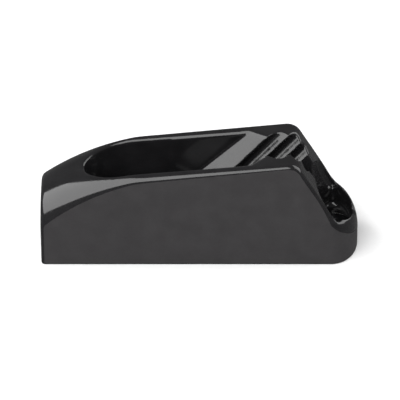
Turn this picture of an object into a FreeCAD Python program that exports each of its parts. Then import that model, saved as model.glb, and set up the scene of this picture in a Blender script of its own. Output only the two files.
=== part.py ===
"""V-jaw jam cleat for small rope: one moulded body and the two screws that hold it down.

Frame: +Z up from the base plane. The origin lies on the base plane, midway between the two
screws. +X runs from the closed nose, where the loaded rope enters, to the low front lip.
"""

import FreeCAD, Part
import math
import os
import Sketcher

# alias, size in mm (angles in degrees, counts plain)
SIZES = [
    # outside of the moulding
    ("width", 16.6),
    ("screw_spacing", 43.0),
    ("nose_reach", 18.0),         # rear screw to the nose end
    ("lip_reach", 5.0),           # front screw to the end of the lip
    ("nose_height", 14.9),        # top of the nose end face
    ("shoulder_run", 20.0),       # nose end to where the crown meets the straight crest
    ("shoulder_height", 21.75),
    ("brow_setback", 13.15),      # lip end back to the brow, where the front slope starts
    ("brow_height", 24.85),
    ("foot_setback", 4.8),        # lip end back to the foot of the slope
    ("foot_height", 10.6),
    ("lip_height", 8.6),
    ("lip_bulge", 5.6),           # how far the plan outline rounds off at the lip
    # outside roundings
    ("brow_radius", 3.2),
    ("foot_radius", 4.0),
    ("nose_edge_radius", 5.0),
    ("shoulder_edge_radius", 1.7),
    ("brow_edge_radius", 1.1),
    ("lip_edge_radius", 2.4),
    # rope pocket and tunnel
    ("pocket_width", 12.0),
    ("pocket_setback", 9.3),      # nose end to the round end of the pocket
    ("pocket_end_run", 8.5),      # length of the round end, up to the pocket's full width
    ("pocket_floor", 5.2),
    ("floor_radius", 1.2),
    ("tunnel_radius", 3.5),
    ("tunnel_height", 8.9),
    ("tunnel_flare", 1.0),
    # V jaws
    ("jaw_opening", 6.9),         # between the crests at the height of the brow
    ("jaw_root", 3.0),            # between the crests at the jaw floor
    ("jaw_floor", 7.5),
    ("ridge_angle", 47.0),        # the ridges climb towards the lip at this angle
    ("ridge_pitch", 4.1),
    ("ridge_depth", 1.45),
    ("crest_setback", 18.3),      # lip end back to the first crest, at brow height
    ("lead_in_run", 2.9),         # length, at brow height, of the face that leads to the first crest
    # front trough and lip bowl
    ("trough_half_width", 5.6),
    ("trough_depth", 2.7),
    ("bowl_half_length", 3.8),
    ("bowl_half_width", 6.4),
    ("bowl_floor", 4.9),
    ("bowl_radius", 1.5),
    # fixing screws
    ("seat_height", 4.6),         # base plane to the top of a screw's head
    ("screw_length", 19.0),
    ("screw_radius", 1.75),       # over the threads
    ("screw_point", 4.0),
    ("neck_radius", 1.4),         # plain neck, from the head down to the base plane
    ("head_radius", 3.4),
    ("head_rim", 0.3),
    ("drive_width", 0.95),
    ("drive_span", 3.9),
    ("drive_depth", 1.3),
    ("screw_clearance", 0.25),    # between the threads and the hole that they pass
    ("head_clearance", 0.1),      # between a head's rim and its recess
]
RIDGE_GROOVES = 3
OVERCUT = 3.0  # how far a cutting solid runs past the face that it opens

# places along the body, as expressions of the sizes
REAR_SCREW = "-screw_spacing / 2"
FRONT_SCREW = "screw_spacing / 2"
NOSE_END = "-(screw_spacing / 2 + nose_reach)"
LIP_END = "(screw_spacing / 2 + lip_reach)"
BROW = f"({LIP_END} - brow_setback)"
POCKET_WIDE = f"({NOSE_END} + pocket_setback + pocket_end_run)"
JAW_START = f"({LIP_END} - crest_setback - lead_in_run)"
# how far a crest moves towards the lip between the jaw floor and the brow's height
LEAN = "((brow_height - jaw_floor) / tan(ridge_angle))"

TOP_VIEW = FreeCAD.Rotation()
SIDE_VIEW = FreeCAD.Rotation(FreeCAD.Vector(1, 0, 0), 90)

doc = FreeCAD.newDocument("jam_cleat")


def make_sizes():
    """The sheet of driving dimensions."""
    sheet = doc.addObject("Spreadsheet::Sheet", "Sizes")
    for row, (alias, value) in enumerate(SIZES, start=1):
        sheet.set(f"A{row}", alias)
        sheet.set(f"B{row}", str(value))
        sheet.setAlias(f"B{row}", alias)
    doc.recompute()
    return sheet


def bound(words):
    """An expression in which each size's name reads its cell of the sheet."""
    names = {alias for alias, _ in SIZES}
    token, out = "", ""
    for letter in words + " ":
        if letter.isalnum() or letter == "_":
            token += letter
            continue
        out += f"Sizes.{token}" if token in names else token
        out += letter
        token = ""
    return out.strip()


def value(words):
    """The number that an expression of sizes gives now."""
    return float(sizes.evalExpression(bound(words)))


def bind(thing, **expressions):
    """Ties properties to expressions. A double underscore in a name stands for a dot."""
    for name, words in expressions.items():
        thing.setExpression(name.replace("__", "."), bound(words))
    return thing


def place(thing, along="0", across="0", up="0", turn=None):
    """Puts a thing at a position given by expressions, with a fixed or no rotation."""
    if turn is not None:
        thing.Placement = FreeCAD.Placement(FreeCAD.Vector(), turn)
    return bind(thing, Placement__Base__x=along, Placement__Base__y=across, Placement__Base__z=up)


def draw_outline(sketch, corners, tangent_arc=None):
    """Closes a loop of lines through corners, each a pair of expressions. The line numbered
    tangent_arc is an arc instead, which runs on smoothly into the line after it."""
    points = [FreeCAD.Vector(value(x), value(y), 0) for x, y in corners]
    count = len(points)
    for index, start in enumerate(points):
        end = points[(index + 1) % count]
        edge = Part.LineSegment(start, end)
        if index == tangent_arc:
            edge = arc_into(start, end, points[(index + 2) % count])
        sketch.addGeometry(edge, False)
    starts = [vertex_at(sketch, index, points[index]) for index in range(count)]
    for index in range(count):
        following = (index + 1) % count
        joint = "Tangent" if index == tangent_arc else "Coincident"
        sketch.addConstraint(
            Sketcher.Constraint(joint, index, 3 - starts[index], following, starts[following])
        )
    for index, pair in enumerate(corners):
        for axis, kind, words in zip("xy", ("DistanceX", "DistanceY"), pair):
            number = sketch.addConstraint(
                Sketcher.Constraint(kind, -1, 1, index, starts[index], value(words))
            )
            sketch.renameConstraint(number, f"{axis}_{index}")
            sketch.setExpression(f"Constraints.{axis}_{index}", bound(words))
    return sketch


def arc_into(start, end, beyond):
    """The arc from start to end that meets the line from end to beyond without a corner."""
    onward = (beyond - end).normalize()
    normal = FreeCAD.Vector(-onward.y, onward.x, 0)
    chord = start - end
    radius = chord.dot(chord) / (2 * chord.dot(normal))
    centre = end + normal * radius
    angles = [math.atan2(point.y - centre.y, point.x - centre.x) for point in (start, end)]
    circle = Part.Circle(centre, FreeCAD.Vector(0, 0, 1), abs(radius))
    return Part.ArcOfCircle(circle, min(angles), max(angles))


def vertex_at(sketch, index, point):
    """Which end of an edge lies at a point: 1 is its start and 2 its end."""
    first = sketch.Geometry[index].StartPoint
    last = sketch.Geometry[index].EndPoint
    return 1 if (first - point).Length <= (last - point).Length else 2


def outline(name, corners, turn=TOP_VIEW, along="0", up="0", tangent_arc=None):
    """A sketch of its own with one closed outline."""
    sketch = doc.addObject("Sketcher::SketchObject", name)
    place(sketch, along, "0", up, turn)
    return draw_outline(sketch, corners, tangent_arc)


def extruded(name, profile, length, both_ways=False):
    """A solid drawn out from a profile, along the profile's normal."""
    solid = doc.addObject("Part::Extrusion", name)
    solid.Base = profile
    solid.DirMode = "Normal"
    solid.Solid = True
    solid.Symmetric = both_ways
    return bind(solid, LengthFwd=length)


def cylinder(name, radius, height):
    """A plain cylinder that stands on its own origin."""
    return bind(doc.addObject("Part::Cylinder", name), Radius=radius, Height=height)


def joined(name, *shapes):
    """One solid from several that overlap."""
    fuse = doc.addObject("Part::MultiFuse", name)
    fuse.Shapes = list(shapes)
    fuse.Refine = True
    return fuse


def cut(name, base, tool):
    """base with tool taken away."""
    result = doc.addObject("Part::Cut", name)
    result.Base = base
    result.Tool = tool
    result.Refine = True
    return result


def rounded(name, base, chosen):
    """base with roundings: chosen gives (edge number, first radius, last radius) for each."""
    doc.recompute()
    result = doc.addObject("Part::Fillet", name)
    result.Base = base
    result.Edges = chosen(base.Shape)
    return result


def middle_of(edge):
    """The point halfway along an edge."""
    return edge.valueAt((edge.FirstParameter + edge.LastParameter) / 2)


def edges_across(height, setback):
    """Chooses the straight edge that crosses the body at a height and a distance from the lip."""
    target = FreeCAD.Vector(value(f"{LIP_END} - {setback}"), 0, value(height))

    def chosen(shape, radius):
        near = [
            (number, value(radius), value(radius))
            for number, edge in enumerate(shape.Edges, start=1)
            if (middle_of(edge) - target).Length < 0.01
        ]
        assert len(near) == 1, f"one edge across at {height}, not {len(near)}"
        return near

    return chosen


def make_block():
    """The outside: a side outline, rounded in plan at the lip, with its crosswise corners eased."""
    lip_fall = "(foot_height - lip_height) / foot_setback"
    side = outline(
        "side_outline",
        [
            ("0", "0"),
            ("0", "nose_height"),
            ("shoulder_run", "shoulder_height"),
            (f"{BROW} - {NOSE_END}", "brow_height"),
            (f"{LIP_END} - foot_setback - {NOSE_END}", "foot_height"),
            (f"{LIP_END} + {OVERCUT} - {NOSE_END}", f"lip_height - {OVERCUT} * {lip_fall}"),
            (f"{LIP_END} + {OVERCUT} - {NOSE_END}", "0"),
        ],
        turn=SIDE_VIEW,
        along=NOSE_END,
        tangent_arc=1,
    )
    side_slab = extruded("side_slab", side, "width", both_ways=True)

    straight = doc.addObject("Part::Box", "plan_straight")
    bind(straight, Length=f"{LIP_END} - lip_bulge - {NOSE_END}", Width="width", Height="brow_height")
    place(straight, NOSE_END, "-width / 2")
    lip_curve = doc.addObject("Part::Ellipse", "lip_curve")
    bind(lip_curve, MajorRadius="width / 2", MinorRadius="lip_bulge")
    place(lip_curve, f"{LIP_END} - lip_bulge", turn=FreeCAD.Rotation(90, 0, 0))
    lip_round = extruded("lip_round", lip_curve, "brow_height")

    block = doc.addObject("Part::MultiCommon", "block")
    block.Shapes = [side_slab, joined("plan_block", straight, lip_round)]
    brow_edge = edges_across("brow_height", "brow_setback")
    eased_brow = rounded("eased_brow", block, lambda shape: brow_edge(shape, "brow_radius"))
    foot_edge = edges_across("foot_height", "foot_setback")
    return rounded("eased_foot", eased_brow, lambda shape: foot_edge(shape, "foot_radius"))


def rim_radius(along):
    """Radius of the long outside edge at a place along the body: full on the nose, fine along
    the crest and fuller again round the lip."""
    stations = [
        (NOSE_END, "nose_edge_radius"),
        (f"{NOSE_END} + shoulder_run", "shoulder_edge_radius"),
        (BROW, "brow_edge_radius"),
        (f"{LIP_END} - foot_setback", "lip_edge_radius"),
    ]
    known = [(value(place_of), value(radius)) for place_of, radius in stations]
    for (start, first), (end, last) in zip(known, known[1:]):
        if along <= end:
            return first + (last - first) * max(0.0, along - start) / (end - start)
    return known[-1][1]


def rim_edges(shape):
    """The edges of the rim, which runs from the nose, round the lip and back on the other side.
    A rounding takes both radii of an edge in the order in which the whole rim is walked, and
    the walk goes the way of the first edge's own curve."""
    side_face = value("width / 2")
    lip_start = value(f"{LIP_END} - lip_bulge")
    nose = value(NOSE_END)
    rim = []
    for number, edge in enumerate(shape.Edges, start=1):
        middle = middle_of(edge)
        outside = abs(abs(middle.y) - side_face) < 0.001 or middle.x > lip_start
        crosswise = edge.BoundBox.XLength + edge.BoundBox.ZLength < 0.001
        upright = edge.BoundBox.XLength + edge.BoundBox.YLength < 0.001
        if outside and not crosswise and not upright and middle.z > 1 and middle.x > nose + 0.001:
            rim.append((number, edge, middle.y > 0))
    _, first, first_side = rim[0]
    outward = first.valueAt(first.LastParameter).x > first.valueAt(first.FirstParameter).x
    chosen = []
    for number, edge, side in rim:
        radii = [rim_radius(along) for along in sorted(vertex.X for vertex in edge.Vertexes)]
        if (side == first_side) != outward:
            radii.reverse()
        chosen.append((number, *radii))
    return chosen


def make_pocket():
    """The smooth pocket behind the jaws: a slot with an oval end towards the nose."""
    oval = doc.addObject("Part::Ellipse", "pocket_oval")
    bind(oval, MajorRadius="pocket_end_run", MinorRadius="pocket_width / 2")
    place(oval, POCKET_WIDE, "0", "pocket_floor")
    run = doc.addObject("Part::Box", "pocket_run")
    bind(
        run,
        Length=f"{JAW_START} - {LEAN} - {POCKET_WIDE}",
        Width="pocket_width",
        Height="brow_height",
    )
    place(run, POCKET_WIDE, "-pocket_width / 2", "pocket_floor")
    slot = joined("pocket_slot", extruded("pocket_end", oval, "brow_height"), run)

    def floor_edges(shape):
        radius = value("floor_radius")
        floor = value("pocket_floor")
        return [
            (number, radius, radius)
            for number, edge in enumerate(shape.Edges, start=1)
            if abs(edge.BoundBox.ZMin - floor) + abs(edge.BoundBox.ZMax - floor) < 0.001
        ]

    return rounded("pocket", slot, floor_edges)


def jaw_section(name, height, shift, gap):
    """A level slice of the space between the jaws: wide behind them, then crests and grooves."""
    first_crest = f"{LIP_END} - crest_setback - {shift}"
    lead_in = f"lead_in_run * (pocket_width - {gap}) / (pocket_width - jaw_opening)"
    wall = [
        (f"{POCKET_WIDE} + {OVERCUT}", "pocket_width / 2"),
        (f"{first_crest} - {lead_in}", "pocket_width / 2"),
    ]
    for groove in range(RIDGE_GROOVES):
        wall.append((f"{first_crest} + {groove} * ridge_pitch", f"{gap} / 2"))
        wall.append((f"{first_crest} + {groove + 0.5} * ridge_pitch", f"{gap} / 2 + ridge_depth"))
    wall.append((f"{first_crest} + {RIDGE_GROOVES} * ridge_pitch", f"{gap} / 2"))
    wall.append((f"{LIP_END} + {OVERCUT}", f"{gap} / 2"))
    other_wall = [(along, f"-({across})") for along, across in reversed(wall)]
    return outline(name, wall + other_wall, up=height)


def make_jaws():
    """The ridged V between the jaws. Its crests lean over towards the lip as they climb."""
    space = doc.addObject("Part::Loft", "jaw_space")
    space.Sections = [
        jaw_section("jaw_floor_section", "jaw_floor", LEAN, "jaw_root"),
        jaw_section("jaw_top_section", "brow_height", "0", "jaw_opening"),
    ]
    space.Solid = True
    space.Ruled = True
    return space


def make_tunnel():
    """The rope's way through the nose, with a flared mouth."""
    bore = cylinder("tunnel_bore", "tunnel_radius", "pocket_setback + pocket_end_run")
    mouth = doc.addObject("Part::Cone", "tunnel_mouth")
    bind(
        mouth,
        Radius1="tunnel_radius + 2 * tunnel_flare",
        Radius2="tunnel_radius",
        Height="2 * tunnel_flare",
    )
    forwards = FreeCAD.Rotation(FreeCAD.Vector(0, 1, 0), 90)
    place(bore, NOSE_END, "0", "tunnel_height", forwards)
    place(mouth, f"{NOSE_END} - tunnel_flare", "0", "tunnel_height", forwards)
    return joined("tunnel", bore, mouth)


def make_trough():
    """The shallow round trough down the front slope, which flares the jaws open."""
    rise = "(brow_height - foot_height)"
    run = "(brow_setback - foot_setback)"
    slope = f"sqrt({rise} ^ 2 + {run} ^ 2)"
    radius = "(trough_half_width ^ 2 + trough_depth ^ 2) / (2 * trough_depth)"
    stand_off = f"(({radius}) - trough_depth)"
    trough = cylinder("trough", radius, f"{slope} + {2 * OVERCUT}")
    trough.Placement = FreeCAD.Placement(
        FreeCAD.Vector(), FreeCAD.Rotation(FreeCAD.Vector(0, 1, 0), -1)
    )
    bind(trough, Placement__Rotation__Angle=f"-atan({run} / {rise})")
    # from the foot of the slope: out from its surface by the stand-off, and down it a little
    return place(
        trough,
        f"{LIP_END} - foot_setback + ({rise} * {stand_off} + {run} * {OVERCUT}) / {slope}",
        "0",
        f"foot_height + ({run} * {stand_off} - {rise} * {OVERCUT}) / {slope}",
    )


def make_bowl():
    """The oval bowl inside the lip, which lets the front screw in."""
    rim = doc.addObject("Part::Ellipse", "bowl_rim")
    bind(rim, MajorRadius="bowl_half_width", MinorRadius="bowl_half_length")
    place(rim, FRONT_SCREW, "0", "bowl_floor", FreeCAD.Rotation(90, 0, 0))
    well = extruded("bowl_well", rim, "foot_height")

    def floor_edge(shape):
        radius = value("bowl_radius")
        floor = value("bowl_floor")
        return [
            (number, radius, radius)
            for number, edge in enumerate(shape.Edges, start=1)
            if abs(edge.BoundBox.ZMax - floor) < 0.001
        ]

    return rounded("bowl", well, floor_edge)


def make_screw_way(name, along):
    """The way for one screw: its hole, its countersink and the recess above its head."""
    hole = place(cylinder(f"{name}_hole", "screw_radius + screw_clearance", "seat_height"), along)
    sink_depth = "(head_radius - neck_radius)"
    sink = doc.addObject("Part::Cone", f"{name}_sink")
    bind(sink, Radius1="neck_radius", Radius2="head_radius", Height=sink_depth)
    place(sink, along, "0", f"seat_height - head_rim - {sink_depth}")
    recess = place(
        cylinder(f"{name}_recess", "head_radius + head_clearance", f"head_rim + {OVERCUT}"),
        along,
        "0",
        "seat_height - head_rim",
    )
    return joined(f"{name}_way", hole, sink, recess)


def make_cleat_body():
    """The one-piece moulding."""
    shell = rounded("rounded_block", make_block(), rim_edges)
    cutters = [
        make_pocket(),
        make_jaws(),
        make_tunnel(),
        make_trough(),
        make_bowl(),
        make_screw_way("rear", REAR_SCREW),
        make_screw_way("front", FRONT_SCREW),
    ]
    for cutter in cutters:
        shell = cut(f"less_{cutter.Name}", shell, cutter)
    shell.Label = "cleat_body"
    return shell


def origin_plane(body, role):
    """One of a body's own three planes."""
    return next(plane for plane in body.Origin.OriginFeatures if plane.Role == role)


def body_sketch(body, name, role, corners):
    """A closed outline on one of the body's own planes."""
    sketch = body.newObject("Sketcher::SketchObject", name)
    sketch.AttachmentSupport = [(origin_plane(body, role), "")]
    sketch.MapMode = "FlatFace"
    return draw_outline(sketch, corners)


def make_screw(label, along):
    """A countersunk self-tapping screw with a cross drive, its head's top at its own origin."""
    body = doc.addObject("PartDesign::Body", label)
    half_profile = [
        ("0", "0"),
        ("head_radius", "0"),
        ("head_radius", "-head_rim"),
        ("neck_radius", "-(head_rim + head_radius - neck_radius)"),
        ("neck_radius", "-seat_height"),
        ("screw_radius", "-seat_height"),
        ("screw_radius", "-(screw_length - screw_point)"),
        ("0", "-screw_length"),
    ]
    profile = body_sketch(body, f"{label}_profile", "XZ_Plane", half_profile)
    turned = body.newObject("PartDesign::Revolution", f"{label}_turned")
    turned.Profile = profile
    turned.ReferenceAxis = (profile, ["V_Axis"])
    turned.Angle = 360.0
    doc.recompute()

    arm, reach = "drive_width / 2", "drive_span / 2"
    quarter = [(arm, reach), (arm, arm), (reach, arm)]
    cross = []
    for sign_x, sign_y in ((1, 1), (1, -1), (-1, -1), (-1, 1)):
        corner = [(f"{sign_x} * {x}", f"{sign_y} * {y}") for x, y in quarter]
        cross += corner if sign_x == sign_y else corner[::-1]
    drive = body_sketch(body, f"{label}_cross", "XY_Plane", cross)
    recess = body.newObject("PartDesign::Pocket", f"{label}_recess")
    recess.Profile = drive
    bind(recess, Length="drive_depth")
    place(body, along, "0", "seat_height")
    doc.recompute()
    assert recess.Shape.Volume < turned.Shape.Volume - 0.5, "the drive recess cuts nothing"
    return body


def write_parts(pieces):
    """Checks every object of the document, then writes one STEP file for each piece."""
    doc.recompute()
    for thing in doc.Objects:
        bad = {"Invalid", "Error"} & set(thing.State)
        assert not bad, f"{thing.Label} is {bad}"
    for piece in pieces:
        shape = piece.Shape
        assert not shape.isNull() and shape.isValid(), f"{piece.Label} has no valid shape"
        assert len(shape.Solids) == 1, f"{piece.Label} has {len(shape.Solids)} solids"
    os.makedirs("parts", exist_ok=True)
    for piece in pieces:
        piece.Shape.exportStep(f"parts/{piece.Label}.step")
        print(f"{piece.Label}: {piece.Shape.Volume:.1f} mm3")


sizes = make_sizes()
write_parts(
    [
        make_cleat_body(),
        make_screw("rear_fixing_screw", REAR_SCREW),
        make_screw("front_fixing_screw", FRONT_SCREW),
    ]
)
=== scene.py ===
"""The looks of a small V-jaw jam cleat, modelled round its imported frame.

Lengths in the classes are millimetres in the cleat's own directions: `along` counts from the
nose end to the lip, `across` from the middle plane and `up` from the base plane. A form is a
field: a function of a place that is negative inside the form and, near its surface, close to
the distance from it.
"""

import logging
import math
from dataclasses import dataclass, field
from enum import Enum
from typing import Callable

import bpy
import numpy as np
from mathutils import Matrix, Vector


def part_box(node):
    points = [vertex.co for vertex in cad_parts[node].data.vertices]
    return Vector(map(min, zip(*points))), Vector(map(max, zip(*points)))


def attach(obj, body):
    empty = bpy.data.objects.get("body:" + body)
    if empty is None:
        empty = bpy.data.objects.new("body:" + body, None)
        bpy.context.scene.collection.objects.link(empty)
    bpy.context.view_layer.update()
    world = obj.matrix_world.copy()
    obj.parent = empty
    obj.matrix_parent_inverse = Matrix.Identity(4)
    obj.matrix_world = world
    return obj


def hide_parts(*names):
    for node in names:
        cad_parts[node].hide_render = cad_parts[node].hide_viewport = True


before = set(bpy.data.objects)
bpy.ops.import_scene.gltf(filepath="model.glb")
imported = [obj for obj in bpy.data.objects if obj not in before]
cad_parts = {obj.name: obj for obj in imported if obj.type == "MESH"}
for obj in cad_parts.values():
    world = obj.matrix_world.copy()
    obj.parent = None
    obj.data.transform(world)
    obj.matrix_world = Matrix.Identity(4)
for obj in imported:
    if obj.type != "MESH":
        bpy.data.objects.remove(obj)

MM = 0.001
TINY = 1e-6
ROOT_BODY = "root"
NOISE_RANGE = (0.3, 0.7)
Array = np.ndarray
Form = Callable[[Array, Array, Array], Array]
Socket = bpy.types.NodeSocket
Colour = tuple[float, float, float]

log = logging.getLogger("jam_cleat")


class Slot(Enum):
    """The material slots of the cleat's record."""

    NYLON = "black_nylon"
    STEEL = "screw_steel"


class Node(Enum):
    """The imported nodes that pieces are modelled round."""

    BODY = "cleat_body"
    REAR_SCREW = "rear_fixing_screw"
    FRONT_SCREW = "front_fixing_screw"


# ---------------------------------------------------------------------------- fields


def common(first: Array, second: Array, radius: Array | float) -> Array:
    """The part that two forms share, with the edge between them rounded.

    Args:
        first: Field of one form.
        second: Field of the other form.
        radius: Radius of the rounding.

    Returns:
        Field of the shared part.
    """
    push = np.hypot(np.maximum(first + radius, 0.0), np.maximum(second + radius, 0.0))
    return np.minimum(np.maximum(first, second), -radius) + push


def domed(first: Array, second: Array, first_radius: Array, second_radius: Array) -> Array:
    """The part that two forms share, with the edge between them rounded to a quarter oval.

    Args:
        first: Field of one form.
        second: Field of the other form.
        first_radius: How far the oval drops from the first form.
        second_radius: How far it stands in from the second form.

    Returns:
        Field of the shared part.
    """
    one = np.maximum(first / first_radius + 1.0, 0.0)
    other = np.maximum(second / second_radius + 1.0, 0.0)
    reach = np.maximum(np.hypot(one, other), TINY)
    steepness = np.hypot(one / first_radius, other / second_radius) / reach
    return (reach - 1.0) / np.maximum(steepness, TINY)


def either(first: Array, second: Array, radius: float) -> Array:
    """Two forms together, with the ridge where they meet rounded into a hollow.

    Args:
        first: Field of one form.
        second: Field of the other form.
        radius: Radius of the rounding.

    Returns:
        Field of the joined form.
    """
    pull = np.hypot(np.maximum(radius - first, 0.0), np.maximum(radius - second, 0.0))
    return np.maximum(np.minimum(first, second), radius) - pull


def oval(along: Array, across: Array, half_length: float, half_width: float) -> Array:
    """Distance from an upright oval wall round the origin, in plan.

    Args:
        along: Places along the first half axis.
        across: Places along the second half axis.
        half_length: Half axis along.
        half_width: Half axis across.

    Returns:
        Distance outside the oval, negative inside.
    """
    reach = np.maximum(np.hypot(along / half_length, across / half_width), TINY)
    steepness = np.hypot(along / half_length**2, across / half_width**2) / reach
    return (reach - 1.0) / np.maximum(steepness, TINY)


# ---------------------------------------------------------------------------- outside


@dataclass(frozen=True)
class SideProfile:
    """The top line of the cleat, seen from the side: crown, crest, brow, slope, foot and lip."""

    length: float
    nose_height: float = 14.9
    shoulder_run: float = 20.0
    shoulder_height: float = 21.75
    brow_setback: float = 13.15
    brow_height: float = 24.85
    brow_radius: float = 3.2
    foot_setback: float = 4.8
    foot_height: float = 10.6
    foot_radius: float = 5.5
    lip_height: float = 8.6
    step: float = 0.02
    spare: float = 3.0

    @property
    def brow(self) -> float:
        """Where the front slope starts."""
        return self.length - self.brow_setback

    @property
    def foot(self) -> float:
        """Where the front slope ends."""
        return self.length - self.foot_setback

    @property
    def crest_rise(self) -> float:
        """Rise of the crest for each millimetre along."""
        return (self.brow_height - self.shoulder_height) / (self.brow - self.shoulder_run)

    @property
    def slope_rise(self) -> float:
        """Rise of the front slope for each millimetre along, which is negative."""
        return (self.foot_height - self.brow_height) / (self.foot - self.brow)

    @property
    def lip_rise(self) -> float:
        """Rise of the lip for each millimetre along, which is negative."""
        return (self.lip_height - self.foot_height) / self.foot_setback

    def crown(self, along: Array) -> Array:
        """Height of the arc that rises from the nose and runs on smoothly into the crest.

        Args:
            along: Places along the cleat.

        Returns:
            Height of the arc at each place.
        """
        tilt = math.atan(self.crest_rise)
        normal = (-math.sin(tilt), math.cos(tilt))
        back = (-self.shoulder_run, self.nose_height - self.shoulder_height)
        radius = -(back[0] ** 2 + back[1] ** 2) / (2 * (back[0] * normal[0] + back[1] * normal[1]))
        middle = self.shoulder_run - radius * normal[0]
        return (
            self.shoulder_height
            - radius * normal[1]
            + np.sqrt(radius**2 - np.minimum(np.abs(along - middle), radius) ** 2)
        )

    @staticmethod
    def eased(
        along: Array, heights: Array, corner: tuple[float, float], rises: tuple[float, float],
        radius: float,
    ) -> Array:
        """Puts an arc in place of a corner of the line.

        Args:
            along: Places along the cleat.
            heights: Height of the line at each place.
            corner: The corner's place along and its height.
            rises: Rise of the line before the corner and after it.
            radius: Radius of the arc.

        Returns:
            Heights with the arc in them.
        """
        before, after = (math.atan(rise) for rise in rises)
        side = 1.0 if after < before else -1.0
        tangent = radius * math.tan(abs(after - before) / 2)
        start = corner[0] - tangent * math.cos(before)
        end = corner[0] + tangent * math.cos(after)
        middle = start + side * radius * math.sin(before)
        level = corner[1] - tangent * math.sin(before) - side * radius * math.cos(before)
        drop = np.sqrt(np.maximum(radius**2 - (along - middle) ** 2, 0.0))
        return np.where((along > start) & (along < end), level + side * drop, heights)

    def table(self) -> tuple[Array, Array, Array]:
        """The top line at close places.

        Returns:
            The places, the height at each and the cosine of its tilt.
        """
        along = np.arange(-self.spare, self.length + self.spare, self.step)
        heights = np.where(
            along < self.shoulder_run,
            self.crown(along),
            self.shoulder_height + self.crest_rise * (along - self.shoulder_run),
        )
        heights = np.where(
            along > self.brow,
            self.brow_height + self.slope_rise * (along - self.brow),
            heights,
        )
        heights = np.where(
            along > self.foot,
            self.foot_height + self.lip_rise * (along - self.foot),
            heights,
        )
        brow = (self.brow, self.brow_height)
        heights = self.eased(
            along, heights, brow, (self.crest_rise, self.slope_rise), self.brow_radius
        )
        foot = (self.foot, self.foot_height)
        heights = self.eased(
            along, heights, foot, (self.slope_rise, self.lip_rise), self.foot_radius
        )
        return along, heights, np.cos(np.arctan(np.gradient(heights, along)))


@dataclass(frozen=True)
class Outside:
    """The outside of the moulding, rounded all over."""

    profile: SideProfile
    half_width: float
    lip_bulge: float = 5.6
    drops: tuple[float, ...] = (5.3, 1.6, 0.85, 0.7, 1.9, 4.0)
    reaches: tuple[float, ...] = (8.2, 1.7, 0.9, 0.8, 1.6, 2.0)
    thin_setback: float = 3.0
    end_radius: float = 0.75
    base_radius: float = 0.3
    blend_run: float = 3.0

    def rim(self, places: Array, sizes: tuple[float, ...]) -> Array:
        """A size of the long top edge at each place along.

        Args:
            places: Places along the cleat.
            sizes: Its size at the nose, shoulder, brow, thin stretch, foot and lip.

        Returns:
            The size at each place, with no sudden change.
        """
        shape = self.profile
        thin = shape.foot - self.thin_setback
        stations = [0.0, shape.shoulder_run, shape.brow, thin, shape.foot, shape.length]
        plain = np.interp(places, stations, sizes)
        count = int(self.blend_run / shape.step) | 1
        padded = np.pad(plain, count // 2, mode="edge")
        return np.convolve(padded, np.full(count, 1.0 / count), mode="valid")

    def form(self) -> Form:
        """The field of the outside.

        Returns:
            The field, as a function of a place.
        """
        places, heights, tilts = self.profile.table()
        drops, reaches = self.rim(places, self.drops), self.rim(places, self.reaches)
        oval_start = self.profile.length - self.lip_bulge

        def at(along: Array, across: Array, up: Array) -> Array:
            """The outside's field at places."""
            height = np.interp(along, places, heights)
            tilt = np.interp(along, places, tilts)
            drop, reach = np.interp(along, places, drops), np.interp(along, places, reaches)
            top = (up - height) * tilt
            beyond = np.maximum(along - oval_start, 0.0)
            sides = oval(beyond, across, self.lip_bulge, self.half_width)
            shell = domed(top, sides, drop, reach)
            shell = common(shell, -along, self.end_radius)
            return common(shell, -up, self.base_radius)

        return at


# ---------------------------------------------------------------------------- inside


@dataclass(frozen=True)
class Pocket:
    """The smooth rope pocket behind the jaws, with an oval end towards the nose."""

    half_width: float = 6.0
    setback: float = 9.3
    end_run: float = 8.5
    floor: float = 5.2
    floor_radius: float = 1.2
    front: float = 27.7

    @property
    def wide(self) -> float:
        """Where the pocket reaches its full width."""
        return self.setback + self.end_run

    def walls(self, along: Array, across: Array) -> Array:
        """Field of the pocket in plan, without its front end."""
        return oval(np.minimum(along - self.wide, 0.0), across, self.end_run, self.half_width)

    def form(self, along: Array, across: Array, up: Array) -> Array:
        """The field of the pocket's deep part."""
        plan = common(self.walls(along, across), along - self.front, self.floor_radius)
        return common(plan, self.floor - up, self.floor_radius)


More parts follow.
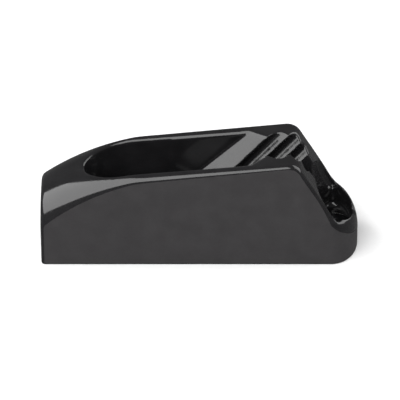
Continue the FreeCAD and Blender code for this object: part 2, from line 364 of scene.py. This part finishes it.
@dataclass(frozen=True)
class Jaws:
    """The V between the jaws. Its scooped grooves and crests lean towards the lip."""

    pocket: Pocket
    first_crest: float
    brow_height: float
    half_opening: float = 3.45
    half_root: float = 1.5
    floor: float = 7.5
    floor_radius: float = 0.8
    angle: float = 47.0
    pitch: float = 4.1
    grooves: int = 3
    depth: float = 1.5
    crest_softness: float = 0.22
    lead_in_run: float = 2.9
    lead_in_softness: float = 0.25
    least_share: float = 0.6
    feeler: float = 0.05

    def half_gap(self, along: Array, up: Array) -> Array:
        """Half the gap between the jaws.

        Args:
            along: Places along the cleat.
            up: Heights above the base.

        Returns:
            Half the gap at each place.
        """
        drop = self.brow_height - up
        spread = (self.half_opening - self.half_root) / (self.brow_height - self.floor)
        crest = np.maximum(self.half_opening - spread * drop, self.least_share * self.half_root)
        past = along - (self.first_crest - drop / math.tan(math.radians(self.angle)))
        flare = (self.pocket.half_width - self.half_opening) / self.lead_in_run
        scoop = self.depth * np.abs(np.sin(math.pi * past / self.pitch))
        scoop = np.where(past < self.grooves * self.pitch, scoop, 0.0)
        away = np.where(past < 0.0, -past * flare, scoop)
        soft = self.crest_softness
        wall = crest + np.sqrt(away**2 + soft**2) - soft
        room = self.pocket.half_width
        ease = np.clip(0.5 + 0.5 * (room - wall) / self.lead_in_softness, 0.0, 1.0)
        eased = room * (1.0 - ease) + wall * ease - self.lead_in_softness * ease * (1.0 - ease)
        return np.where(past < self.pitch / 2, eased, wall)

    def form(self, along: Array, across: Array, up: Array) -> Array:
        """The field of the space between the jaws, which opens into the pocket.

        Args:
            along: Places along the cleat.
            across: Places across it.
            up: Heights above its base.

        Returns:
            The field at each place.
        """
        gap = self.half_gap(along, up)
        steep_along = (self.half_gap(along + self.feeler, up) - gap) / self.feeler
        steep_up = (self.half_gap(along, up + self.feeler) - gap) / self.feeler
        walls = (np.abs(across) - gap) / np.sqrt(1.0 + steep_along**2 + steep_up**2)
        plan = np.maximum(walls, self.pocket.walls(np.minimum(along, self.pocket.wide), across))
        ends = np.where(along < self.pocket.wide, plan, walls)
        return common(ends, self.floor - up, self.floor_radius)


@dataclass(frozen=True)
class Tunnel:
    """The rope's round way in through the nose, with a flared mouth."""

    radius: float = 3.5
    height: float = 8.9
    flare: float = 1.0
    reach: float = 17.0
    end_radius: float = 1.0

    def form(self, along: Array, across: Array, up: Array) -> Array:
        """The field of the tunnel.

        Args:
            along: Places along the cleat.
            across: Places across it.
            up: Heights above its base.

        Returns:
            The field at each place.
        """
        inwards = np.clip(1.0 - along / self.flare, 0.0, 1.0)
        mouth = self.radius + self.flare * (1.0 - np.sqrt(1.0 - inwards**2))
        return common(np.hypot(across, up - self.height) - mouth, along - self.reach, self.end_radius)


@dataclass(frozen=True)
class Trough:
    """The oval scoop down the front slope, which widens from the jaws to the foot."""

    profile: SideProfile
    half_width: float = 9.5
    depth: float = 2.4
    half_length: float = 9.5
    past_foot: float = 0.5
    wall_line: float = 7.2
    overrun: float = 1.2
    end_radius: float = 1.0

    def form(self, along: Array, across: Array, up: Array) -> Array:
        """The field of the scoop.

        Args:
            along: Places along the cleat.
            across: Places across it.
            up: Heights above its base.

        Returns:
            The field at each place.
        """
        shape = self.profile
        tilt = math.atan(-shape.slope_rise)
        past, over = along - shape.foot, up - shape.foot_height
        outwards = (over * math.cos(tilt) + past * math.sin(tilt)) / self.depth
        run = past * math.cos(tilt) - over * math.sin(tilt)
        down = (run - self.past_foot) / self.half_length
        aside = across / self.half_width
        reach = np.maximum(np.sqrt(outwards**2 + down**2 + aside**2), TINY)
        steepness = np.sqrt(
            (outwards / self.depth) ** 2
            + (down / self.half_length) ** 2
            + (aside / self.half_width) ** 2
        )
        scoop = (reach - 1.0) * reach / np.maximum(steepness, TINY)
        scoop = common(scoop, np.abs(across) - self.wall_line, self.end_radius)
        return common(scoop, run - self.overrun, self.end_radius)


@dataclass(frozen=True)
class Bowl:
    """The oval bowl inside the lip, which lets the front screw in."""

    middle: float
    half_length: float = 3.8
    half_width: float = 6.4
    floor: float = 4.9
    floor_radius: float = 1.5

    def form(self, along: Array, across: Array, up: Array) -> Array:
        """The field of the bowl."""
        wall = oval(along - self.middle, across, self.half_length, self.half_width)
        return common(wall, self.floor - up, self.floor_radius)


@dataclass(frozen=True)
class ScrewWay:
    """A screw's hole, its countersink and the recess above its head."""

    middle: float
    seat_height: float = 4.6
    head_radius: float = 3.4
    head_rim: float = 0.3
    hole_radius: float = 2.0
    head_clearance: float = 0.1
    reach: float = 3.0

    def form(self, along: Array, across: Array, up: Array) -> Array:
        """The field of the way.

        Args:
            along: Places along the cleat.
            across: Places across it.
            up: Heights above its base.

        Returns:
            The field at each place.
        """
        radial = np.hypot(along - self.middle, across)
        rim = self.seat_height - self.head_rim
        recess = np.maximum(radial - self.head_radius - self.head_clearance, rim - up)
        recess = np.maximum(recess, up - rim - self.reach)
        sink = np.maximum((radial - self.head_radius + rim - up) * math.sqrt(0.5), up - rim)
        hole = np.maximum(radial - self.hole_radius, up - rim)
        return np.minimum(np.minimum(recess, sink), hole)


# ---------------------------------------------------------------------------- meshes


@dataclass(frozen=True)
class SurfaceNet:
    """Lays a net of quads on the zero surface of a form.

    Each cell of the grid that the surface crosses gets one point, which then slides down the
    field's slope on to the surface itself.
    """

    form: Form
    grid: tuple[Array, Array, Array]
    slides: int = 4
    feeler: float = 0.03
    least_steepness: float = 0.05
    longest_slide: float = 0.5

    def slope(self, points: Array) -> Array:
        """The field's gradient.

        Args:
            points: Places, one row each.

        Returns:
            The gradient at each place, one row each.
        """
        rows = []
        for axis in range(3):
            offset = np.zeros(3)
            offset[axis] = self.feeler
            ahead, behind = (points + offset).T, (points - offset).T
            rows.append((self.form(*ahead) - self.form(*behind)) / (2 * self.feeler))
        return np.stack(rows, axis=1)

    def first_points(self, values: Array, cells: tuple[Array, ...]) -> Array:
        """The middle of each cell's edge crossings.

        Args:
            values: The field on the grid.
            cells: Index of each crossed cell along each axis.

        Returns:
            One place for each cell.
        """
        total = np.zeros((len(cells[0]), 3))
        hits = np.zeros(len(cells[0]))
        for axis in range(3):
            for low in range(2):
                for high in range(2):
                    corner = [index.copy() for index in cells]
                    corner[(axis + 1) % 3] += low
                    corner[(axis + 2) % 3] += high
                    start = values[tuple(corner)]
                    place = np.stack([self.grid[i][corner[i]] for i in range(3)], axis=1)
                    corner[axis] += 1
                    end = values[tuple(corner)]
                    crossed = (start < 0) != (end < 0)
                    share = np.where(crossed, start / np.where(crossed, start - end, 1.0), 0.0)
                    span = self.grid[axis][corner[axis]] - place[:, axis]
                    place[:, axis] += share * span
                    total += place * crossed[:, None]
                    hits += crossed
        return total / hits[:, None]

    @staticmethod
    def quads(inside: Array, number: Array) -> Array:
        """The quads between the points of neighbouring cells.

        Args:
            inside: Whether each grid place is inside the form.
            number: The point's number in each cell.

        Returns:
            Four point numbers for each quad, counter-clockwise from outside.
        """
        found = []
        for axis in range(3):
            second, third = (axis + 1) % 3, (axis + 2) % 3
            near = np.moveaxis(inside, (axis, second, third), (0, 1, 2))
            cell = np.moveaxis(number, (axis, second, third), (0, 1, 2))
            outward = near[:-1, 1:-1, 1:-1] & ~near[1:, 1:-1, 1:-1]
            inward = ~near[:-1, 1:-1, 1:-1] & near[1:, 1:-1, 1:-1]
            ring = (cell[:, :-1, :-1], cell[:, 1:, :-1], cell[:, 1:, 1:], cell[:, :-1, 1:])
            found.append(np.stack([corner[outward] for corner in ring], axis=1))
            found.append(np.stack([corner[inward] for corner in ring[::-1]], axis=1))
        return np.concatenate(found)

    def build(self, name: str, origin: Vector) -> bpy.types.Object:
        """Makes the mesh object.

        Args:
            name: Name of the object.
            origin: Where the form's own origin lies in the frame, in metres.

        Returns:
            The object, smooth-shaded with the field's own normals.
        """
        along, across, up = self.grid
        values = self.form(along[:, None, None], across[None, :, None], up[None, None, :])
        inside = values < 0
        corners = sum(
            inside[i : i + len(along) - 1, j : j + len(across) - 1, k : k + len(up) - 1].astype(int)
            for i in range(2) for j in range(2) for k in range(2)
        )
        crossed = (corners > 0) & (corners < 8)
        number = np.full(crossed.shape, -1)
        number[crossed] = np.arange(np.count_nonzero(crossed))
        points = self.first_points(values, np.nonzero(crossed))
        spacing = max(float(np.diff(line).max()) for line in self.grid)
        for _ in range(self.slides):
            slope = self.slope(points)
            steep = np.maximum((slope**2).sum(axis=1), self.least_steepness)
            move = (self.form(*points.T) / steep)[:, None] * slope
            reach = np.linalg.norm(move, axis=1, keepdims=True)
            longest = self.longest_slide * spacing
            points = points - move * np.minimum(1.0, longest / np.maximum(reach, 1e-9))
        normals = self.slope(points)
        normals /= np.maximum(np.linalg.norm(normals, axis=1, keepdims=True), 1e-9)
        mesh = bpy.data.meshes.new(name)
        places = points * MM + np.array(origin)
        mesh.from_pydata(places.tolist(), [], self.quads(inside, number).tolist())
        mesh.validate()
        mesh.shade_smooth()
        mesh.normals_split_custom_set_from_vertices(normals.tolist())
        piece = bpy.data.objects.new(name, mesh)
        bpy.context.scene.collection.objects.link(piece)
        return piece


def spaced(start: float, end: float, step: float) -> Array:
    """Evenly spaced grid lines from start to end, about a step apart."""
    return np.linspace(start, end, int(math.ceil((end - start) / step)) + 1)


# ---------------------------------------------------------------------------- finishes


class Nodes:
    """A material's node tree, with short calls to fill it."""

    def __init__(self, name: str) -> None:
        """Makes an empty node material.

        Args:
            name: Name of the material.
        """
        self.material = bpy.data.materials.new(name)
        self.material.use_nodes = True
        self.tree = self.material.node_tree
        self.tree.nodes.clear()
        self.shader = self.add("ShaderNodeBsdfPrincipled")
        output = self.add("ShaderNodeOutputMaterial")
        self.join(self.shader.outputs["BSDF"], output.inputs["Surface"])

    def add(self, kind: str, **settings: object) -> bpy.types.Node:
        """Adds a node.

        Args:
            kind: The node's type.
            settings: The node's own properties.

        Returns:
            The node.
        """
        node = self.tree.nodes.new(kind)
        for key, setting in settings.items():
            setattr(node, key, setting)
        return node

    def join(self, start: Socket, end: Socket) -> None:
        """Links one socket to another."""
        self.tree.links.new(start, end)

    def place(self) -> Socket:
        """The place on the surface, in metres."""
        return self.add("ShaderNodeTexCoord").outputs["Object"]

    def noise(
        self, scale: float, detail: float = 2.0, where: Socket | None = None
    ) -> Socket:
        """Noise about the size of 1/scale metres.

        Args:
            scale: Features for each metre.
            detail: How many finer layers it has.
            where: The place it is read at, or the surface's own place.

        Returns:
            The noise's value.
        """
        node = self.add("ShaderNodeTexNoise")
        node.inputs["Scale"].default_value = scale
        node.inputs["Detail"].default_value = detail
        self.join(where or self.place(), node.inputs["Vector"])
        return node.outputs["Fac"]

    def ranged(
        self, value: Socket, source: tuple[float, float], target: tuple[float, float]
    ) -> Socket:
        """Maps a value from one range to another and keeps it there.

        Args:
            value: The value to map.
            source: The range that it has.
            target: The range that it gets.

        Returns:
            The mapped value.
        """
        node = self.add("ShaderNodeMapRange", clamp=True)
        settings = zip(("From Min", "From Max", "To Min", "To Max"), (*source, *target))
        for name, number in settings:
            node.inputs[name].default_value = number
        self.join(value, node.inputs["Value"])
        return node.outputs["Result"]

    def math(
        self, operation: str, first: Socket, second: Socket | float = 0.0
    ) -> Socket:
        """One arithmetic step on a value.

        Args:
            operation: Name of the operation.
            first: The first value.
            second: The second value, a socket or a number.

        Returns:
            The result.
        """
        node = self.add("ShaderNodeMath", operation=operation)
        self.join(first, node.inputs[0])
        if isinstance(second, Socket):
            self.join(second, node.inputs[1])
        else:
            node.inputs[1].default_value = second
        return node.outputs["Value"]

    def between(
        self, share: Socket, low: Socket, high: Socket
    ) -> Socket:
        """A value between two others.

        Args:
            share: 0 for the low value, 1 for the high one.
            low: Value at 0.
            high: Value at 1.

        Returns:
            The value.
        """
        node = self.add("ShaderNodeMix", data_type="FLOAT")
        for index, socket in enumerate((share, low, high)):
            named = ("Factor_Float", "A_Float", "B_Float")[index]
            self.join(socket, self.socket(node.inputs, named))
        return self.socket(node.outputs, "Result_Float")

    @staticmethod
    def socket(sockets: bpy.types.bpy_prop_collection, name: str) -> Socket:
        """The socket that has an inner name."""
        return next(socket for socket in sockets if socket.identifier == name)

    def blended(
        self, share: Socket, low: Socket, high: Socket
    ) -> Socket:
        """A colour between two others.

        Args:
            share: 0 for the low colour, 1 for the high one.
            low: Colour at 0.
            high: Colour at 1.

        Returns:
            The colour.
        """
        node = self.add("ShaderNodeMix", data_type="RGBA")
        self.join(share, self.socket(node.inputs, "Factor_Float"))
        self.join(low, self.socket(node.inputs, "A_Color"))
        self.join(high, self.socket(node.inputs, "B_Color"))
        return self.socket(node.outputs, "Result_Color")

    def mixed(
        self, share: Socket, low: tuple[float, ...], high: tuple[float, ...]
    ) -> Socket:
        """A colour between two fixed ones.

        Args:
            share: 0 for the low colour, 1 for the high one.
            low: Colour at 0.
            high: Colour at 1.

        Returns:
            The colour.
        """
        node = self.add("ShaderNodeMix", data_type="RGBA")
        self.socket(node.inputs, "A_Color").default_value = (*low, 1.0)
        self.socket(node.inputs, "B_Color").default_value = (*high, 1.0)
        self.join(share, self.socket(node.inputs, "Factor_Float"))
        return self.socket(node.outputs, "Result_Color")

    def bump(self, height: Socket, distance: float, strength: float) -> None:
        """Roughens the surface.

        Args:
            height: Height of the grain, from 0 to 1.
            distance: Height in metres that 1 stands for.
            strength: How strongly it shows.
        """
        node = self.add("ShaderNodeBump")
        node.inputs["Strength"].default_value = strength
        node.inputs["Distance"].default_value = distance
        self.join(height, node.inputs["Height"])
        self.join(node.outputs["Normal"], self.shader.inputs["Normal"])


@dataclass(frozen=True)
class MouldedNylon:
    """Black nylon: polished by the mould all over but for its upright outer wall, which is matt and
    is given a paler colour as a painted reflection of the pale floor.
    """

    half_width: float
    nose: float
    oval_start: float
    bulge: float
    polished_dark: Colour = (0.0085, 0.0083, 0.0089)
    polished_pale: Colour = (0.0125, 0.0122, 0.0130)
    # The side colours are paler than the polished ones: a painted reflection of the pale floor, which
    # glossy rays don't see.
    side_painted_reflection_dark: Colour = (0.0255, 0.0238, 0.0252)
    side_painted_reflection_pale: Colour = (0.0320, 0.0300, 0.0316)
    polished_gloss: tuple[float, float] = (0.07, 0.14)
    side_gloss: tuple[float, float] = (0.50, 0.60)
    cloud_scale: float = 260.0
    mark_scale: float = 1500.0
    ripple_scale: float = 420.0
    grain_scale: float = 9000.0
    grain_height: float = 0.00001
    wall_edge: tuple[float, float] = (0.989, 0.998)
    end_edge: tuple[float, float] = (0.005, 0.03)

    def matt_and_painted_reflection_share(self, nodes: Nodes, place: Socket) -> Socket:
        """1 on the upright outer wall and the nose end face, which are matt and carry the painted
        reflection of the floor, and 0 elsewhere.

        Args:
            nodes: The material's nodes.
            place: The place on the surface.

        Returns:
            The share.
        """
        split = nodes.add("ShaderNodeSeparateXYZ")
        nodes.join(place, split.inputs["Vector"])
        ahead = nodes.math("SUBTRACT", split.outputs["X"], self.oval_start * MM)
        beyond = nodes.math("MAXIMUM", ahead, 0.0)
        beyond = nodes.math("DIVIDE", beyond, self.bulge * MM)
        aside = nodes.math("DIVIDE", split.outputs["Y"], self.half_width * MM)
        square = nodes.math(
            "ADD", nodes.math("MULTIPLY", beyond, beyond), nodes.math("MULTIPLY", aside, aside)
        )
        wall = nodes.ranged(square, self.wall_edge, (0.0, 1.0))
        end = (self.nose + self.end_edge[0]) * MM, (self.nose + self.end_edge[1]) * MM
        return nodes.math("MAXIMUM", wall, nodes.ranged(split.outputs["X"], end, (1.0, 0.0)))

    def material(self) -> bpy.types.Material:
        """Makes the material."""
        nodes = Nodes("moulded_black_nylon")
        place = nodes.place()
        side = self.matt_and_painted_reflection_share(nodes, place)
        cloud = nodes.ranged(nodes.noise(self.cloud_scale, 5.0, place), NOISE_RANGE, (0.0, 1.0))
        polished = nodes.mixed(cloud, self.polished_dark, self.polished_pale)
        # Painted reflection: the side wall and nose end get the paler colour in place of the floor's
        # reflection.
        painted_reflection_side = nodes.mixed(cloud, self.side_painted_reflection_dark, self.side_painted_reflection_pale)
        nodes.join(nodes.blended(side, polished, painted_reflection_side), nodes.shader.inputs["Base Color"])
        marks = nodes.noise(self.mark_scale, 4.0, place)
        shine = nodes.ranged(marks, NOISE_RANGE, self.polished_gloss)
        matt = nodes.ranged(marks, NOISE_RANGE, self.side_gloss)
        nodes.join(nodes.between(side, shine, matt), nodes.shader.inputs["Roughness"])
        fine = nodes.noise(self.grain_scale, 2.0, place)
        wavy = nodes.noise(self.ripple_scale, 2.0, place)
        nodes.bump(nodes.between(side, wavy, fine), self.grain_height, 0.5)
        nodes.shader.inputs["IOR"].default_value = 1.5
        return nodes.material


@dataclass(frozen=True)
class BlackedSteel:
    """Turned steel with a thin black finish, worn a little brighter in patches."""

    dark: Colour = (0.035, 0.035, 0.038)
    worn: Colour = (0.16, 0.16, 0.17)
    gloss: tuple[float, float] = (0.28, 0.42)
    worn_above: tuple[float, float] = (0.58, 0.75)
    patch_scale: float = 1400.0
    mark_scale: float = 2600.0
    grain_scale: float = 5200.0
    grain_height: float = 0.00001

    def material(self) -> bpy.types.Material:
        """Makes the material."""
        nodes = Nodes("blacked_screw_steel")
        place = nodes.place()
        patches = nodes.ranged(nodes.noise(self.patch_scale, 4.0, place), self.worn_above, (0.0, 1.0))
        nodes.join(nodes.mixed(patches, self.dark, self.worn), nodes.shader.inputs["Base Color"])
        rough = nodes.ranged(nodes.noise(self.mark_scale, 2.0, place), NOISE_RANGE, self.gloss)
        nodes.join(rough, nodes.shader.inputs["Roughness"])
        nodes.bump(nodes.noise(self.grain_scale, 2.0, place), self.grain_height, 0.4)
        nodes.shader.inputs["Metallic"].default_value = 0.9
        return nodes.material


@dataclass(frozen=True)
class PaleFloor:
    """Smooth white paper for the cleat to stand on."""

    colour: Colour = (0.92, 0.92, 0.92)
    fleck: Colour = (0.90, 0.90, 0.90)
    fibre_scale: float = 900.0

    def material(self) -> bpy.types.Material:
        """Makes the material."""
        nodes = Nodes("pale_floor_paper")
        fibre = nodes.ranged(nodes.noise(self.fibre_scale, 3.0), NOISE_RANGE, (0.0, 1.0))
        nodes.join(nodes.mixed(fibre, self.fleck, self.colour), nodes.shader.inputs["Base Color"])
        nodes.shader.inputs["Roughness"].default_value = 0.9
        nodes.shader.inputs["Specular IOR Level"].default_value = 0.1
        return nodes.material


# ---------------------------------------------------------------------------- pieces


def dress(piece: bpy.types.Object, finish: bpy.types.Material, node: Node) -> None:
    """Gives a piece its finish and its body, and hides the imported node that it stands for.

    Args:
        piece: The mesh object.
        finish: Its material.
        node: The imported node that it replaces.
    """
    piece.data.materials.append(finish)
    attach(piece, ROOT_BODY)
    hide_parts(node.value)


@dataclass
class CleatBody:
    """The one-piece moulding: outside, pocket, jaws, tunnel, trough, bowl and screw ways."""

    low: Vector
    high: Vector
    screws: list[float]
    crest_setback: float = 18.3
    void_radius: float = 0.3
    pocket_edge: float = 1.15
    jaw_edge: float = 0.45
    fine_from: float = 41.0
    coarse_step: float = 0.40
    fine_step: float = 0.21
    level_step: float = 0.29
    margin: float = 0.9
    edge_run: float = 6.0

    @property
    def length(self) -> float:
        """Length of the moulding."""
        return (self.high.x - self.low.x) / MM

    def form(self) -> Form:
        """The field of the finished moulding.

        Returns:
            The field, as a function of a place.
        """
        profile = SideProfile(self.length)
        pocket = Pocket()
        outside = Outside(profile, self.high.y / MM).form()
        first_crest = self.length - self.crest_setback
        hollows = [
            pocket.form,
            Jaws(pocket, first_crest, profile.brow_height).form,
            Tunnel().form,
            Trough(profile).form,
            Bowl(self.screws[-1]).form,
        ]
        ways = [ScrewWay(middle).form for middle in self.screws]
        edge_places = [pocket.wide, first_crest - self.edge_run, first_crest]
        edge_radii = [self.pocket_edge, self.pocket_edge, self.jaw_edge]

        def at(along: Array, across: Array, up: Array) -> Array:
            """The moulding's field at places."""
            hollow = hollows[0](along, across, up)
            for other in hollows[1:]:
                hollow = either(hollow, other(along, across, up), self.void_radius)
            for way in ways:
                hollow = np.minimum(hollow, way(along, across, up))
            edge = np.interp(along, edge_places, edge_radii)
            return common(outside(along, across, up), -hollow, edge)

        return at

    def build(self) -> bpy.types.Object:
        """Builds and dresses the moulding."""
        half_width, height = self.high.y / MM, self.high.z / MM
        coarse = spaced(-self.margin, self.fine_from, self.coarse_step)
        fine = spaced(self.fine_from, self.length + self.margin, self.fine_step)
        grid = (
            np.concatenate([coarse, fine[1:]]),
            spaced(-half_width - self.margin, half_width + self.margin, self.level_step),
            spaced(-self.margin, height + self.margin, self.level_step),
        )
        nose = Vector((self.low.x, 0.0, 0.0))
        piece = SurfaceNet(self.form(), grid).build("moulded_body", nose)
        shape = Outside(SideProfile(self.length), half_width)
        start = self.high.x / MM - shape.lip_bulge
        nylon = MouldedNylon(half_width, self.low.x / MM, start, shape.lip_bulge)
        dress(piece, nylon.material(), Node.BODY)
        return piece


@dataclass
class FixingScrew:
    """A countersunk self-tapping screw with a cross drive and a rolled thread."""

    node: Node
    finish: bpy.types.Material
    head_radius: float = 3.4
    head_rim: float = 0.3
    neck_radius: float = 1.4
    root_radius: float = 1.2
    thread_radius: float = 1.72
    pitch: float = 1.35
    crest_share: float = 0.3
    point: float = 4.0
    drive_half_width: float = 0.46
    drive_half_span: float = 1.95
    drive_depth: float = 1.3
    drive_taper: float = 0.5
    arm_taper: float = 0.3
    wall_scale: float = 0.8
    arris: float = 0.05
    head_arris: float = 0.06
    drive_arris: float = 0.08
    drive_floor_radius: float = 0.15
    thread_overlap: float = 0.1
    neck_fillet: float = 0.2
    margin: float = 0.25
    step: float = 0.11

    def shank(self, radial: Array, turn: Array, down: Array, start: float, end: float) -> Array:
        """Field of the threaded bar.

        Args:
            radial: Distances from the screw's axis.
            turn: Angles round the axis.
            down: Depths below the top of the head.
            start: Depth where the thread starts.
            end: Depth of the point.

        Returns:
            The field.
        """
        taper = np.clip((end - down) / self.point, 0.0, 1.0)
        phase = np.mod(down / self.pitch - turn / (2 * math.pi), 1.0)
        crest = np.clip(1.0 - np.abs(phase - 0.5) / self.crest_share, 0.0, 1.0)
        run_in = np.clip((down - start) / self.pitch, 0.0, 1.0)
        height = (self.thread_radius - self.root_radius) * crest * run_in
        wall = (radial - (self.root_radius + height) * taper) * self.wall_scale
        return common(common(wall, down - end, self.arris), start - down, self.thread_overlap)

    def drive(self, along: Array, across: Array, down: Array) -> Array:
        """Field of the tapered cross recess.

        Args:
            along: Places along the cleat.
            across: Places across it.
            down: Depths below the top of the head.

        Returns:
            The field.
        """
        depth = np.clip(down / self.drive_depth, 0.0, 1.0)
        arm = self.drive_half_width * (1.0 - self.arm_taper * depth)
        span = self.drive_half_span * (1.0 - self.drive_taper * depth)
        first = common(np.abs(along) - span, np.abs(across) - arm, self.drive_arris)
        second = common(np.abs(across) - span, np.abs(along) - arm, self.drive_arris)
        cross = np.minimum(first, second)
        return common(cross, down - self.drive_depth, self.drive_floor_radius)

    def build(self) -> bpy.types.Object:
        """Builds and dresses the screw inside its node's box."""
        low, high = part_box(self.node.value)
        length = (high.z - low.z) / MM
        neck_end = high.z / MM

        def at(along: Array, across: Array, up: Array) -> Array:
            """The screw's field at places."""
            radial, down = np.hypot(along, across), -up
            cone = (radial - self.head_radius + down - self.head_rim) * math.sqrt(0.5)
            head = common(radial - self.head_radius, cone, self.arris)
            head = common(head, -down, self.head_arris)
            overlap = self.thread_overlap
            neck = common(radial - self.neck_radius, down - neck_end - overlap, self.arris)
            neck = np.maximum(neck, -down)
            bar = self.shank(radial, np.arctan2(across, along), down, neck_end - overlap, length)
            solid = either(either(head, neck, self.neck_fillet), bar, self.arris)
            return common(solid, -self.drive(along, across, down), self.head_arris)

        edge = self.head_radius + self.margin
        grid = (
            spaced(-edge, edge, self.step),
            spaced(-edge, edge, self.step),
            spaced(-length - self.margin, self.margin, self.step),
        )
        middle = (low + high) / 2
        top = Vector((middle.x, middle.y, high.z))
        piece = SurfaceNet(at, grid).build(f"{self.node.value}_threaded", top)
        dress(piece, self.finish, self.node)
        return piece


# ---------------------------------------------------------------------------- studio


@dataclass
class Softbox:
    """A plain rectangular light that faces the cleat."""

    name: str
    azimuth: float
    elevation: float
    distance: float
    size: tuple[float, float]
    radiance: float

    def build(self, target: Vector) -> bpy.types.Object:
        """Hangs the light round a target.

        Args:
            target: The place that the light faces.

        Returns:
            The light.
        """
        turn, tilt = math.radians(self.azimuth), math.radians(self.elevation)
        away = Vector((
            math.sin(turn) * math.cos(tilt),
            -math.cos(turn) * math.cos(tilt),
            math.sin(tilt),
        ))
        lamp = bpy.data.lights.new(self.name, "AREA")
        lamp.shape = "RECTANGLE"
        lamp.size, lamp.size_y = self.size
        lamp.energy = self.radiance * math.pi * self.size[0] * self.size[1]
        light = bpy.data.objects.new(self.name, lamp)
        light.location = target + away * self.distance
        light.rotation_mode = "QUATERNION"
        light.rotation_quaternion = (-away).to_track_quat("-Z", "Y")
        bpy.context.scene.collection.objects.link(light)
        return light


@dataclass
class Studio:
    """Pale floor, soft lights, pale surroundings and the camera."""

    azimuth: float = 0.0
    elevation: float = 35.0
    distance: float = 0.85
    view_width: float = 83.3333
    aim: tuple[float, float, float] = (-6.46, 0.0, 10.62)
    sensor: float = 36.0
    floor_side: float = 6.0
    surroundings: float = 0.15
    lights: list[Softbox] = field(default_factory=lambda: [
        Softbox("long_softbox", -56.0, 44.0, 1.0, (2.8, 0.85), 4.3),
        Softbox("right_softbox", 108.0, 30.0, 1.2, (1.5, 1.05), 2.8),
    ])

    def build(self) -> None:
        """Builds the floor, the lights, the surroundings and the camera."""
        target = Vector(self.aim) * MM
        self.lay_floor()
        self.set_surroundings()
        for light in self.lights:
            light.build(target)
        self.set_camera(target)

    def lay_floor(self) -> None:
        """Lays the floor on the base plane, where the cleat's gloss doesn't pick it up."""
        half = self.floor_side / 2
        corners = [(-half, -half, 0.0), (half, -half, 0.0), (half, half, 0.0), (-half, half, 0.0)]
        mesh = bpy.data.meshes.new("pale_floor")
        mesh.from_pydata(corners, [], [(0, 1, 2, 3)])
        floor = bpy.data.objects.new("pale_floor", mesh)
        floor.data.materials.append(PaleFloor().material())
        bpy.context.scene.collection.objects.link(floor)
        floor.visible_glossy = False

    def set_surroundings(self) -> None:
        """Makes the world an even pale grey."""
        world = bpy.data.worlds.new("pale_surroundings")
        world.use_nodes = True
        background = world.node_tree.nodes["Background"]
        background.inputs["Color"].default_value = (1.0, 1.0, 1.0, 1.0)
        background.inputs["Strength"].default_value = self.surroundings
        bpy.context.scene.world = world

    def set_camera(self, target: Vector) -> None:
        """Places the camera.

        Args:
            target: The place at the middle of the view.
        """
        turn, tilt = math.radians(self.azimuth), math.radians(self.elevation)
        away = Vector((
            math.sin(turn) * math.cos(tilt),
            -math.cos(turn) * math.cos(tilt),
            math.sin(tilt),
        ))
        lens = bpy.data.cameras.new("studio_camera")
        lens.sensor_width = self.sensor
        lens.lens = self.distance * self.sensor / (self.view_width * MM)
        lens.clip_start, lens.clip_end = 0.01, 20.0
        camera = bpy.data.objects.new("studio_camera", lens)
        camera.location = target + away * self.distance
        camera.rotation_mode = "QUATERNION"
        camera.rotation_quaternion = (-away).to_track_quat("-Z", "Y")
        bpy.context.scene.collection.objects.link(camera)
        bpy.context.scene.camera = camera
        bpy.context.scene.view_settings.view_transform = "Standard"


def main() -> None:
    """Builds every piece round the frame."""
    logging.basicConfig(level=logging.INFO, format="%(name)s: %(message)s")
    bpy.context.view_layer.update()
    low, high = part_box(Node.BODY.value)
    screw_boxes = [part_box(node.value) for node in (Node.REAR_SCREW, Node.FRONT_SCREW)]
    screws = [((lo.x + hi.x) / 2 - low.x) / MM for lo, hi in screw_boxes]
    steel = BlackedSteel().material()
    makers = [
        CleatBody(low, high, screws),
        FixingScrew(Node.REAR_SCREW, steel),
        FixingScrew(Node.FRONT_SCREW, steel),
    ]
    for maker in makers:
        piece = maker.build()
        log.info("%s: %d faces", piece.name, len(piece.data.polygons))
    Studio().build()


if __name__ == "__main__":
    main()
